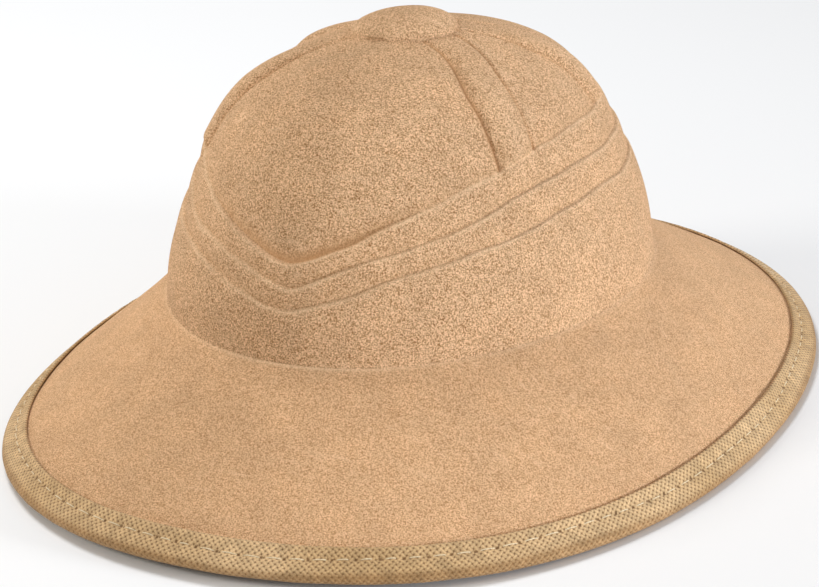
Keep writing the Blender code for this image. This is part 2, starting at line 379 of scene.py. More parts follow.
@dataclass(frozen=True)
class FoldSet:
    """Three stepped folds that run round the crown and meet in a V at the front."""

    crown: CrownForm
    step: float = 0.0024
    run: float = 0.0006
    front_hollow: float = 0.0016
    hollow_run: float = 0.024
    hollow_half_angle: float = 42.0
    v_rounding: float = 2.0
    crest: float = 0.36
    tuck: float = 0.16
    lean: float = 1.5
    round_run: float = 0.0013
    round_share: float = 0.35
    wander: float = 0.00022
    waves: tuple[Wave, ...] = (
        Wave(count=9, phase=1.0, share=1.0),
        Wave(count=17, phase=2.0, share=1.0),
        Wave(count=31, phase=1.0, share=0.6),
    )
    wall_fade: float = 1.5
    stations: tuple[FoldStation, ...] = (
        FoldStation(angle=0, upper=0.350, middle=0.270, lower=0.190, upper_depth=1.0),
        FoldStation(angle=13, upper=0.422, middle=0.345, lower=0.250, upper_depth=1.0),
        FoldStation(angle=26, upper=0.494, middle=0.391, lower=0.306, upper_depth=0.9),
        FoldStation(angle=38, upper=0.543, middle=0.424, lower=0.334, upper_depth=0.5),
        FoldStation(angle=52, upper=0.594, middle=0.484, lower=0.365, upper_depth=0.6),
        FoldStation(angle=67, upper=0.630, middle=0.516, lower=0.394, upper_depth=1.0),
        FoldStation(angle=82, upper=0.646, middle=0.527, lower=0.410, upper_depth=1.0),
        FoldStation(angle=105, upper=0.645, middle=0.519, lower=0.398, upper_depth=1.0),
        FoldStation(angle=180, upper=0.645, middle=0.519, lower=0.398, upper_depth=1.0),
    )

    def _eased(self, degrees: float, column: Fold) -> float:
        """Value of one column of the table, eased between its rows.

        Args:
            degrees: Angle from the front, 0 to 180.
            column: Which column is read.

        Returns:
            The value on a cubic through the rows.
        """
        angles = [station.angle for station in self.stations]
        values = [getattr(station, column.value) for station in self.stations]
        row = min(int(np.searchsorted(angles, degrees, side="right")) - 1, len(angles) - 2)
        slopes = np.diff(values) / np.diff(angles)
        entry = slopes[row] if row == 0 else (slopes[row - 1] + slopes[row]) / 2
        leave = 0.0 if row == len(slopes) - 1 else (slopes[row] + slopes[row + 1]) / 2
        width = angles[row + 1] - angles[row]
        share = (degrees - angles[row]) / width
        rise = values[row + 1] - values[row]
        bend = width * (entry * (1 - share) - leave * share) - rise * (1 - 2 * share)
        return values[row] + rise * share + bend * share * (1 - share)

    @cached_property
    def _table(self) -> dict[Fold, Array]:
        """Every column of the table at each of the quarter degrees."""
        return {column: np.array([self._eased(degrees, column) for degrees in QUARTER_DEGREES]) for column in Fold}

    def value(self, angle: Array, column: Fold) -> Array:
        """Values of one column of the table at ellipse angles, rounded over the front's V."""
        rounded = np.hypot(np.abs(np.degrees(from_front(angle))), self.v_rounding) - self.v_rounding
        return np.interp(rounded, QUARTER_DEGREES, self._table[column])

    def arc(self, angle: Array, column: Fold) -> Array:
        """Arcs from the apex down to one of the folds, which wander a little, at ellipse angles."""
        wander = self.wander * waver(angle, self.waves, shift=float(len(column.name)))
        return self.crown.arc_at_height(self.value(angle, column)) + wander

    def sink(self, angle: Array, distance: Array) -> Array:
        """Depths by which the dome sinks in above the upper fold.

        Args:
            angle: Ellipse angles from the front, in radians.
            distance: Distances above the fold's recess.

        Returns:
            Depths, all positive.
        """
        degrees = np.abs(np.degrees(from_front(angle)))
        front = smooth_step(1 - degrees / self.hollow_half_angle)
        near = np.clip(1 - distance / self.hollow_run, 0.0, 1.0) ** 2
        depth = self.tuck * self.step * self.value(angle, Fold.UPPER_DEPTH)
        return near * (depth + self.front_hollow * front)

    def proud(self, below: Array) -> Array:
        """Shares of the crest's height at distances below a fold's rounded lip."""
        return 1 - self.round_share * np.exp(-below / self.round_run)

    def band(self, share: float, below: Array) -> Array:
        """Relief across a band, from its proud rounded top edge to its tucked lower edge.

        Args:
            share: How far down the band the ring lies.
            below: Distances below the lip of the fold on top.

        Returns:
            One height for each place.
        """
        lean = share**self.lean
        return self.step * (self.crest * self.proud(below) * (1 - lean) - self.tuck * lean)


@dataclass(frozen=True)
class Welt:
    """A raised welt: its compass angle from the front at its foot and under the button."""

    foot_angle: float
    top_angle: float


@dataclass(frozen=True)
class WeltSpan:
    """Where one welt crosses one ring: compass angle of its middle, half angle, radius and height."""

    middle: float
    half: float
    radius: float
    height: float


@dataclass(frozen=True)
class WeltSet:
    """Four raised welts from the button down to the upper fold, two on each side."""

    crown: CrownForm
    foot_rise: float = 0.0028
    top_rise: float = 0.0007
    foot_width: float = 0.0172
    top_width: float = 0.0150
    bend_start: float = 0.25
    bend_end: float = 0.62
    arch: float = 3.0
    front_valley: float = 0.0008
    back_valley: float = 0.0006
    valley_run: float = 0.0008
    valley_fade: int = 12
    shoulder: float = 0.00025
    shoulder_place: float = 2.2
    shoulder_sharpness: float = 3.0
    foot_pit: float = 0.0008
    pit_run: float = 0.0017
    welts: tuple[Welt, ...] = (Welt(foot_angle=57, top_angle=66), Welt(foot_angle=115, top_angle=122))

    def span(self, welt: Welt, arc: float) -> WeltSpan:
        """Where a welt crosses the ring that has this arc at the welt's foot angle.

        Args:
            welt: The welt.
            arc: Arc from the apex.

        Returns:
            Its place and size on that ring.
        """
        foot = math.radians(welt.foot_angle)
        reach = float(np.interp(arc, self.crown.profile[0], self.crown.profile[1]))
        bend = float(smooth_step((self.bend_end - reach) / (self.bend_end - self.bend_start)))
        radius = float(self.crown.radius(foot, arc))
        width = self.foot_width + (self.top_width - self.foot_width) * bend
        middle = foot + math.radians(welt.top_angle - welt.foot_angle) * bend
        height = self.foot_rise + (self.top_rise - self.foot_rise) * bend
        return WeltSpan(middle=middle, half=math.atan(width / 2 / radius), radius=radius, height=height)

    def lift(self, compass: Array, spans: list[WeltSpan]) -> Array:
        """Height of the welts over the dome, with the valleys pressed beside them.

        Args:
            compass: Compass angles from the front.
            spans: Where the welts cross this ring.

        Returns:
            One height for each angle.
        """
        facing = np.abs(from_front(compass))
        total = np.zeros_like(facing)
        for span in spans:
            across = (facing - span.middle) / span.half
            aside = np.abs(across)
            beside = np.clip(aside - 1, 0.0, None) * span.half * span.radius / self.valley_run
            valley = np.where(across < 0, self.front_valley, self.back_valley)
            shoulder = hump(beside / self.shoulder_place - 1, self.shoulder_sharpness)
            total += span.height * np.clip(1 - aside**self.arch, 0.0, 1.0)
            total -= valley * hump(beside) * np.clip(aside, 0.0, 1.0) ** self.valley_fade
            total += self.shoulder * shoulder * (beside > 0)
        return total

    def pits(self, compass: Array, spans: list[WeltSpan], above: Array) -> Array:
        """Depths of the pits pressed at the rear foot of the two front welts.

        Args:
            compass: Compass angles from the front.
            spans: Where the welts cross this ring.
            above: Distances above the upper fold.

        Returns:
            One depth for each angle.
        """
        front = spans[0]
        facing = np.abs(from_front(compass))
        aside = (facing - front.middle - front.half) * front.radius
        return self.foot_pit * np.exp(-(aside**2 + above**2) / self.pit_run**2)


@dataclass(frozen=True)
class BrimForm:
    """The sloping brim, from the crease out to the felt's edge inside its tape."""

    crown: CrownForm
    length: float = 0.3596
    width: float = 0.2864
    dish: float = 0.0016
    front_lift: float = 0.0031
    back_lift: float = 0.0037
    lift_start: float = 0.35
    corner_swell: float = 0.0325
    felt_wall: float = 0.002
    tape_wall: float = 0.0009
    seat_gap: float = 0.0003
    tape_foot: float = 0.0014

    def edge_lift(self, angle: Array) -> Array:
        """Heights of the brim's lowest line over the floor.

        Args:
            angle: Ellipse angles from the front.

        Returns:
            One height for each angle, 0 at the sides.
        """
        facing = np.cos(angle)
        height = np.where(facing > 0, self.front_lift, self.back_lift)
        return height * np.clip((np.abs(facing) - self.lift_start) / (1 - self.lift_start), 0.0, None) ** 2

    def crease(self, angle: Array) -> Array:
        """Points of the crease at ellipse angles."""
        return self.crown.point(angle, np.full_like(angle, self.crown.crease_arc))

    def outline(self, angle: Array) -> Array:
        """Plan points of the finished brim's outline.

        Args:
            angle: Ellipse angles from the front.

        Returns:
            One point in plan for each angle.
        """
        swell = 1 + self.corner_swell * np.sin(2 * angle) ** 2
        x = self.width / 2 * swell * np.sin(angle)
        return np.stack([x, -self.length / 2 * swell * np.cos(angle)], axis=-1)

    def felt_edge(self, angle: Array) -> Array:
        """Points of the felt's upper edge, inside the tape.

        Args:
            angle: Ellipse angles from the front, in radians.

        Returns:
            One point for each angle.
        """
        crease = self.crease(angle)
        outline = self.outline(angle)
        run = outline - crease[:, :2]
        lift = self.edge_lift(angle)
        slope = np.arctan2(self.crown.drop - lift - self.felt_wall, np.linalg.norm(run, axis=1))
        outer = self.seat_gap + self.tape_wall
        back = outer * np.cos(slope) + self.seat_gap * np.sin(slope)
        depth = self.felt_wall + outer - self.tape_foot * np.sin(slope)
        rise = outer * np.sin(slope) + depth * np.cos(slope)
        plan = outline - unit(run) * back[:, None]
        return np.column_stack([plan, lift + rise])

    def point(self, angle: Array, share: Array) -> Array:
        """Points of the brim's upper face.

        Args:
            angle: Ellipse angles from the front, in radians.
            share: Shares of the way out, 0 at the crease and 1 at the felt's edge.

        Returns:
            One point for each angle.
        """
        crease = self.crease(angle)
        points = crease + (self.felt_edge(angle) - crease) * np.reshape(share, (-1, 1))
        points[:, 2] -= self.dish * DISH_SCALE * share * (1 - share) ** 2
        return points

    def slope_length(self, angle: Array) -> Array:
        """Lengths from the crease straight out to the felt's edge."""
        return np.linalg.norm(self.felt_edge(angle) - self.crease(angle), axis=1)


class RingRow(NamedTuple):
    """One ring of the felt's sheet: its stretch, and how far down the stretch it lies."""

    stretch: Stretch
    share: float


class RingPlan(NamedTuple):
    """How many rings a stretch has, and their spacing at its ends as a share of an even one."""

    stretch: Stretch
    count: int
    ends: float


class CrownLines(NamedTuple):
    """Arcs from the apex down to the button's foot and to the folds, one for each column."""

    foot: Array
    upper: Array
    middle: Array
    lower: Array


class CrownRing(NamedTuple):
    """One ring of the crown. Each array has a value for each column."""

    stretch: Stretch
    share: float
    angle: Array
    lines: CrownLines
    arc: Array
    welted: Array


LIPS = (Stretch.UPPER_LIP, Stretch.MIDDLE_LIP, Stretch.LOWER_LIP)
LIP_OF_BAND = {Stretch.UPPER_BAND: Fold.UPPER, Stretch.LOWER_BAND: Fold.MIDDLE, Stretch.WALL: Fold.LOWER}
RECESS_OF_BAND = {Stretch.DOME: Fold.UPPER, Stretch.UPPER_BAND: Fold.MIDDLE, Stretch.LOWER_BAND: Fold.LOWER}


@dataclass(frozen=True)
class FeltShell:
    """The pressed felt: crown, button, welts, folds and brim in one sheet with a wall."""

    crown: CrownForm
    folds: FoldSet
    welts: WeltSet
    brim: BrimForm
    wall: float = 0.002
    button_diameter: float = 0.0385
    button_rise: float = 0.0045
    button_margin: float = 0.0016
    button_crown: float = 4.0
    button_groove: float = 0.0005
    crease_bead: float = 0.00025
    bead_run: float = 0.0012
    lip_welt: float = 0.35
    welt_fade: float = 0.7
    # Pale marks of rubbed nap with painted highlight: on the fold edges (patchy round the hat), the welts and the
    # button's rim.
    edge_wear_and_highlight: float = 0.65
    wear_and_highlight_run: float = 0.0008
    wear_and_highlight_rise: float = 1.6
    patch_mean: float = 0.7
    patch_spread: float = 0.3
    patch_waves: tuple[int, int] = (5, 13)
    patch_phase: float = 0.7
    welt_wear_and_highlight: float = 0.12
    welt_wear_and_highlight_power: int = 3
    rim_wear_and_highlight: float = 0.15
    rim_wear_and_highlight_power: int = 6
    # Painted highlight in a thin line along the brim's crease.
    crease_highlight: float = 0.9
    crease_run: float = 0.0007
    crease_turn: float = 0.12
    crease_half_angle: float = 0.35
    crease_least: float = 0.35
    # Pressed nap, and painted shade in the fold recesses and in the valleys beside the welts.
    fold_press_and_shade: float = 0.2
    press_and_shade_run: float = 0.0030
    press_and_shade_half_angle: float = 0.75
    swell_size: float = 0.034
    swell_height: float = 0.00022
    swell_seed: float = 3.1
    dimple_size: float = 0.009
    dimple_height: float = 0.00007
    dimple_seed: float = 7.7
    held_rings: int = 8
    held_share: float = 0.85
    front_columns: int = 48
    side_columns: int = 30
    back_columns: int = 34
    welt_columns: int = 14
    column_ends: float = 0.25
    button_rings: int = 14
    plans: tuple[RingPlan, ...] = (
        RingPlan(stretch=Stretch.DOME, count=42, ends=0.4),
        RingPlan(stretch=Stretch.UPPER_LIP, count=6, ends=1.0),
        RingPlan(stretch=Stretch.UPPER_BAND, count=12, ends=0.5),
        RingPlan(stretch=Stretch.MIDDLE_LIP, count=6, ends=1.0),
        RingPlan(stretch=Stretch.LOWER_BAND, count=12, ends=0.5),
        RingPlan(stretch=Stretch.LOWER_LIP, count=6, ends=1.0),
        RingPlan(stretch=Stretch.WALL, count=26, ends=0.25),
        RingPlan(stretch=Stretch.BRIM, count=30, ends=0.2),
    )

    def _rows(self) -> list[RingRow]:
        """Every ring of the sheet from the apex to the felt's edge.

        Returns:
            The rings in order.
        """
        bowed = 1 - (1 - np.linspace(0, 1, self.button_rings + 1)) ** 2
        rows = [RingRow(Stretch.BUTTON, float(share)) for share in bowed]
        for plan in self.plans:
            rows += [RingRow(plan.stretch, float(share)) for share in crowded(plan.count, plan.ends)[1:]]
        return rows

    def _lines(self, angle: Array) -> CrownLines:
        """Lines of the button and the folds at ellipse angles."""
        folds = [self.folds.arc(angle, fold) for fold in (Fold.UPPER, Fold.MIDDLE, Fold.LOWER)]
        return CrownLines(self.crown.arc_at_reach(angle, self.button_diameter / 2), *folds)

    def _arc(self, row: RingRow, lines: CrownLines) -> Array:
        """Arcs of one ring of the crown.

        Args:
            row: The ring.
            lines: Lines of the crown at its columns.

        Returns:
            One arc from the apex for each column.
        """
        stops = [np.zeros_like(lines.foot), lines.foot]
        for line in (lines.upper, lines.middle, lines.lower):
            stops += [line - self.folds.run, line + self.folds.run]
        stops.append(np.full_like(lines.foot, self.crown.crease_arc))
        first = list(Stretch).index(row.stretch)
        return stops[first] + (stops[first + 1] - stops[first]) * row.share

    def _relief(self, ring: CrownRing) -> Array:
        """Relief of the button and folds over the smooth crown.

        Args:
            ring: The ring.

        Returns:
            One height for each column.
        """
        folds, arc, lines, share = self.folds, ring.arc, ring.lines, ring.share
        crest, tuck = folds.crest * (1 - folds.round_share) * folds.step, folds.tuck * folds.step
        depth = folds.value(ring.angle, Fold.UPPER_DEPTH)
        eased = smooth_step(share)
        if ring.stretch is Stretch.BUTTON:
            return np.full_like(arc, self.button_rise * math.sqrt(1 - share**self.button_crown))
        if ring.stretch is Stretch.DOME:
            groove = self.button_groove * hump((arc - lines.foot) / self.button_margin - 1)
            return -folds.sink(ring.angle, lines.upper - folds.run - arc) - groove
        if ring.stretch is Stretch.UPPER_LIP:
            above = -folds.sink(ring.angle, np.zeros_like(arc))
            return above + (crest * depth - above) * eased
        if ring.stretch is Stretch.UPPER_BAND:
            height = folds.band(share, arc - lines.upper - folds.run)
            return np.where(height > 0, height * depth, height)
        if ring.stretch is Stretch.LOWER_BAND:
            return folds.band(share, arc - lines.middle - folds.run)
        if ring.stretch is Stretch.WALL:
            proud = folds.proud(arc - lines.lower - folds.run)
            return folds.crest * folds.step * proud * (1 - share) ** folds.wall_fade
        return np.full_like(arc, -tuck + (crest + tuck) * eased)

    def _welt_share(self, ring: CrownRing) -> Array:
        """Share of the welts' height: none on the button, all on the dome, fading below.

        Args:
            ring: The ring.

        Returns:
            One share for each column.
        """
        if ring.stretch is Stretch.DOME:
            return smooth_step((ring.arc - ring.lines.foot) / self.button_margin)
        if ring.stretch is Stretch.UPPER_LIP:
            return np.full_like(ring.arc, 1 - (1 - self.lip_welt) * smooth_step(ring.share))
        if ring.stretch is Stretch.UPPER_BAND:
            return np.full_like(ring.arc, self.lip_welt * (1 - smooth_step(ring.share / self.welt_fade)))
        return np.zeros_like(ring.arc)

    def _wear_and_highlight(self, ring: CrownRing) -> Array:
        """How far the nap is rubbed pale, together with painted highlight: on the folds' edges, the welts and the
        button's rim.

        Args:
            ring: The ring.

        Returns:
            One share for each column.
        """
        few, many = self.patch_waves
        patchy = np.sin(few * ring.angle + self.patch_phase)
        patchy = self.patch_mean + self.patch_spread * patchy * np.sin(many * ring.angle)
        if ring.stretch is Stretch.BUTTON:
            return np.full_like(ring.arc, self.rim_wear_and_highlight * ring.share**self.rim_wear_and_highlight_power)
        if ring.stretch is Stretch.DOME:
            return self.welt_wear_and_highlight * np.clip(ring.welted / self.welts.foot_rise, 0.0, 1.0) ** self.welt_wear_and_highlight_power
        if ring.stretch in LIPS:
            return patchy * self.edge_wear_and_highlight * smooth_step(ring.share * self.wear_and_highlight_rise)
        below = ring.arc - getattr(ring.lines, LIP_OF_BAND[ring.stretch].value) - self.folds.run
        return patchy * self.edge_wear_and_highlight * hump(below / self.wear_and_highlight_run)

    def _pressed_and_shaded(self, ring: CrownRing) -> Array:
        """How far the nap is pressed flat, which also sets the painted shade: in the recess of each fold and in the
        valleys.

        Args:
            ring: The ring.

        Returns:
            One share for each column.
        """
        fold = RECESS_OF_BAND.get(ring.stretch)
        if fold is None:
            return np.full_like(ring.arc, self.fold_press_and_shade * (1 - smooth_step(ring.share)) * (ring.stretch in LIPS))
        above = getattr(ring.lines, fold.value) - self.folds.run - ring.arc
        front = smooth_step(1 - np.abs(from_front(ring.angle)) / self.press_and_shade_half_angle)
        share = self.fold_press_and_shade + (1 - self.fold_press_and_shade) * front * (fold is Fold.UPPER)
        valley = np.clip(-ring.welted / self.welts.front_valley, 0.0, 1.0) * self._welt_share(ring)
        return np.maximum(hump(above / self.press_and_shade_run) * share, valley)

    def _compass(self, spans: list[WeltSpan]) -> Array:
        """Compass angles of one ring's columns, from the front round both sides to the front again.

        Args:
            spans: Where the welts cross the ring.

        Returns:
            Angles from 0 to a full turn.
        """
        bow = np.sin(np.linspace(-math.pi / 2, math.pi / 2, self.welt_columns + 1))
        stops, start = [], 0.0
        for span, count in zip(spans, (self.front_columns, self.side_columns)):
            end = span.middle - span.half
            stops.append(start + (end - start) * crowded(count, self.column_ends)[:-1])
            stops.append(span.middle + span.half * bow[:-1])
            start = span.middle + span.half
        stops.append(start + (math.pi - start) * crowded(self.back_columns, self.column_ends))
        half = np.concatenate(stops)
        return np.concatenate([half, 2 * math.pi - half[-2::-1]])

    def _crown_ring(self, row: RingRow) -> tuple[Array, Array, dict[str, Array]]:
        """One ring of the crown.

        Args:
            row: The ring.

        Returns:
            Its points, the ellipse angles of its columns, and its marks by name.
        """
        spans = []
        for welt in self.welts.welts:
            foot = self._lines(self.crown.ellipse_angle(np.array([math.radians(welt.foot_angle)])))
            spans.append(self.welts.span(welt, float(max(self._arc(row, foot)[0], foot.foot[0]))))
        compass = self._compass(spans)
        angle = self.crown.ellipse_angle(compass)
        lines = self._lines(angle)
        arc = self._arc(row, lines)
        ring = CrownRing(*row, angle=angle, lines=lines, arc=arc, welted=self.welts.lift(compass, spans))
        pits = self.welts.pits(compass, spans, lines.upper - arc)
        lift = self._relief(ring) + ring.welted * self._welt_share(ring) - pits
        points = self.crown.point(angle, arc) + self.crown.outward(angle, arc) * lift[:, None]
        return points, angle, {"wear": self._wear_and_highlight(ring), "pressed": self._pressed_and_shaded(ring), "brim": np.zeros_like(arc)}

    def _brim_ring(self, share: float, angle: Array) -> tuple[Array, dict[str, Array]]:
        """One ring of the brim.

        Args:
            share: Share of the way out from the crease.
            angle: Ellipse angles of its columns.

        Returns:
            Its points, and its marks by name.
        """
        points = self.brim.point(angle, np.full_like(angle, share))
        distance = share * self.brim.slope_length(angle)
        points[:, 2] += self.crease_bead * hump(distance / self.bead_run - 1)
        # Painted highlight in a thin line along the crease, strongest near the front.
        front = hump(from_front(angle - self.crease_turn) / self.crease_half_angle)
        line = hump(distance / self.crease_run - 1) * (self.crease_least + (1 - self.crease_least) * front)
        marks = {"wear": self.crease_highlight * line, "pressed": np.zeros_like(angle), "brim": np.ones_like(angle)}
        return points, marks

    def _swell(self, places: Array) -> Array:
        """Push the sheet out and in a little, as hand pressed felt is, but not inside the tape.

        Args:
            places: Rings by columns by three.

        Returns:
            The moved places.
        """
        down = np.gradient(places, axis=0)
        around = np.gradient(places, axis=1)
        around[:, 0] = around[:, -1] = (places[:, 1] - places[:, -2]) / 2
        normal = np.cross(down, around)
        normal[0] = (0, 0, 1)
        flat = places.reshape(-1, 3)
        push = self.swell_height * smooth_noise(flat, self.swell_size, self.swell_seed)
        push = push + self.dimple_height * smooth_noise(flat, self.dimple_size, self.dimple_seed)
        push = push.reshape(places.shape[:2])
        push[0] = push[0].mean()
        push[-self.held_rings:] *= np.linspace(self.held_share, 0.0, self.held_rings)[:, None]
        push[:, -1] = push[:, 0]
        return places + unit(normal) * push[..., None]

    def build(self, outside: bpy.types.Material, inside: bpy.types.Material) -> bpy.types.Object:
        """Make the felt and set it in place of its solid.

        Args:
            outside: Flocked finish.
            inside: Finish of the inner side.

        Returns:
            The felt piece.
        """
        rings, marks = [], {"wear": [], "pressed": [], "brim": []}
        angle = np.zeros(0)
        for row in self._rows():
            if row.stretch is Stretch.BRIM:
                points, made = self._brim_ring(row.share, angle)
            else:
                points, angle, made = self._crown_ring(row)
            rings.append(points)
            for name, values in made.items():
                marks[name].append(values)
        places = self._swell(np.array(rings))
        places[0] = places[0].mean(axis=0)
        sheet = rolled_sheet(places, {name: np.array(values) for name, values in marks.items()})
        weld(sheet)
        highest = max(sheet.faces, key=lambda face: face.calc_center_median().z)
        if highest.normal.z < 0:
            bmesh.ops.reverse_faces(sheet, faces=sheet.faces)
        piece = finished("pressed_felt", sheet, [outside, inside])
        wall = piece.modifiers.new("wall", "SOLIDIFY")
        wall.thickness = self.wall
        wall.offset = -1.0
        wall.use_even_offset = True
        wall.material_offset = 1
        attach(piece, "root")
        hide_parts(SolidNode.SHELL.value)
        return piece


class TapeEdge(NamedTuple):
    """The felt's edge in even steps: lengths round the brim, angles, points, and the ways out and up."""

    along: Array
    angle: Array
    points: Array
    out: Array
    up: Array


@dataclass(frozen=True)
class BiasTape:
    """The open-weave tape folded over the felt's edge, with a hem, a stitch channel and one lap."""

    brim: BrimForm
    cover: float = 0.0112
    margin: float = 0.0020
    hem_radius: float = 0.00045
    hem_points: int = 7
    hem_swell: float = 0.00022
    hem_width: float = 0.0022
    hem_place: float = 0.6
    hem_sharpness: float = 3.0
    edge_power: float = 2.5
    stitch_inset: float = 0.0048
    stitch_sway: float = 0.0007
    sway_waves: tuple[Wave, ...] = (Wave(count=5, phase=1.1, share=1.0), Wave(count=13, phase=0.0, share=0.5))
    stitch_pitch: float = 0.0080
    channel_depth: float = 0.00038
    channel_width: float = 0.0011
    channel_beat: float = 0.35
    pucker: float = 0.00012
    pucker_spread: float = 3.0
    lap_angle: float = 91.6
    lap_length: float = 0.013
    lap_height: float = 0.00045
    lap_rise_run: float = 0.0009
    lap_fall_run: float = 0.002
    edge_fade: float = 0.002
    hem_fade: float = 0.0006
    wave_height: float = 0.00015
    wave_size: float = 0.012
    wave_seed: float = 2.2
    columns: int = 1400
    top_steps: int = 14
    round_steps: int = 10
    under_steps: int = 8

    @cached_property
    def edge(self) -> TapeEdge:
        """The felt's edge in even steps round the brim.

        Returns:
            Its lengths, angles, points and ways.
        """
        fine = np.linspace(0.0, 2 * math.pi, 4 * self.columns + 1)
        lengths = line_lengths(self.brim.felt_edge(fine))
        along = np.linspace(0.0, lengths[-1], self.columns + 1)
        angle = np.interp(along, lengths, fine)
        points = self.brim.felt_edge(angle)
        share = 1 - (self.cover + self.margin) / self.brim.slope_length(angle)
        out = unit(points - self.brim.point(angle, share))
        around = np.gradient(points, axis=0)
        around[0] = around[-1] = points[1] - points[-2]
        return TapeEdge(along=along, angle=angle, points=points, out=out, up=unit(np.cross(out, around)))

    @property
    def length(self) -> float:
        """Length of the tape along the felt's edge."""
        return float(self.edge.along[-1])

    @cached_property
    def pitch(self) -> float:
        """Stitch pitch that fits a whole number of stitches round the brim."""
        return self.length / round(self.length / self.stitch_pitch)

    def place(self, along: Array, reach: Array, height: Array) -> Array:
        """Points beside the felt's edge.

        Args:
            along: Lengths round the brim.
            reach: Distances out from the felt's edge, below 0 on the brim.
            height: Distances over the felt's upper face.

        Returns:
            One point for each length.
        """
        wrapped = np.mod(along, self.length)
        point, out, up = (
            np.stack([np.interp(wrapped, self.edge.along, column) for column in table.T], axis=-1)
            for table in (self.edge.points, self.edge.out, self.edge.up)
        )
        return point + out * np.asarray(reach)[..., None] + up * np.asarray(height)[..., None]

    @cached_property
    def _section(self) -> tuple[Array, Array]:
        """Closed section of the tape, from the hem over the edge and back.

        Returns:
            Its reaches and its heights.
        """
        outer = self.brim.seat_gap + self.brim.tape_wall
        gap, under = self.brim.seat_gap, -self.brim.felt_wall
        hem = self.hem_radius
        turn = np.linspace(-math.pi / 2, -3 * math.pi / 2, self.hem_points)
        reach = list(-self.cover + hem + hem * np.cos(turn))
        height = list(gap + hem + hem * np.sin(turn))
        reach += list(np.linspace(-self.cover + hem, -outer, self.top_steps + 1)[1:])
        height += [outer] * self.top_steps
        turn = np.linspace(math.pi / 2, -math.pi / 2, self.round_steps + 1)[1:]
        bulge = 2 / self.edge_power
        reach += list(-outer + 2 * outer * np.abs(np.cos(turn)) ** bulge)
        half = (outer - under + outer) / 2
        height += list(under / 2 + half * np.sign(np.sin(turn)) * np.abs(np.sin(turn)) ** bulge)
        reach += list(np.linspace(-outer, -self.cover + hem, self.under_steps + 1)[1:])
        height += [under - outer] * self.under_steps
        reach += [-self.cover, -self.cover + hem, gap, gap, -self.cover + hem]
        height += [under - gap - hem, under - gap, under - gap, gap, gap]
        return np.array(reach), np.array(height)

    def seam_inset(self, along: Array) -> Array:
        """Distances of the hand-led stitch line from the hem."""
        turn = 2 * math.pi * np.asarray(along) / self.length
        return self.stitch_inset + self.stitch_sway * waver(turn, self.sway_waves)

    def relief(self, along: Array, inset: Array) -> Array:
        """Relief of the tape's faces: hem, stitch channel, puckers and lap.

        Args:
            along: Lengths round the brim.
            inset: Distances out from the hem.

        Returns:
            One height for each place.
        """
        beat = np.cos(2 * math.pi * along / self.pitch)
        hem = self.hem_swell * hump(inset / self.hem_width - self.hem_place, self.hem_sharpness)
        aside = inset - self.seam_inset(along)
        channel = hump(aside / self.channel_width) * self.channel_depth * (1 + self.channel_beat * beat)
        spread = hump(aside / (self.pucker_spread * self.channel_width))
        skew = along - self.length * self.lap_angle / 360 - (inset - self.cover / 2)
        lap = smooth_step(skew / self.lap_rise_run) * (1 - smooth_step((skew - self.lap_length) / self.lap_fall_run))
        return hem - channel - self.pucker * beat * spread + self.lap_height * lap

    def build(self, finish: bpy.types.Material) -> bpy.types.Object:
        """Make the tape and set it in place of its solid.

        Args:
            finish: Woven finish, which reads the UV map in metres.

        Returns:
            The tape piece.
        """
        reach, height = self._section
        along = self.edge.along
        still = np.zeros_like(along)
        grown = line_lengths(np.column_stack([reach, height]))
        outside = self.hem_points + self.top_steps + self.round_steps + self.under_steps
        wave = self.wave_height * smooth_noise(self.place(along, still, still), self.wave_size, self.wave_seed)
        places, seam = [], []
        for row, (out, over) in enumerate(zip(reach, height)):
            facing = 1.0 if over > -self.brim.felt_wall / 2 else -1.0
            flat = 1.0 if row < outside and out < 0 and abs(over) > self.brim.seat_gap * 2 else 0.0
            fade = float(smooth_step(-out / self.edge_fade) * smooth_step((out + self.cover) / self.hem_fade))
            rise = self.relief(along, np.full_like(along, out + self.cover)) * flat * fade
            places.append(self.place(along, out + (wave if row < outside else still), over + facing * rise))
            seam.append(out + self.cover - self.seam_inset(along))
        places = np.array(places)
        places[:, -1] = places[:, 0]
        places[..., 2] = np.maximum(places[..., 2], self.brim.edge_lift(self.edge.angle))
        sheet = rolled_sheet(places, {"seam": np.array(seam)})
        uv_map = sheet.loops.layers.uv.active
        for face in sheet.faces:
            for corner in face.loops:
                share = corner[uv_map].uv
                ring = round(share.y * (len(reach) - 1))
                corner[uv_map].uv = (share.x * self.length, grown[ring])
        weld(sheet)
        piece = finished("bias_tape", sheet, [finish])
        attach(piece, "root")
        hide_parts(SolidNode.BINDING.value)
        return piece


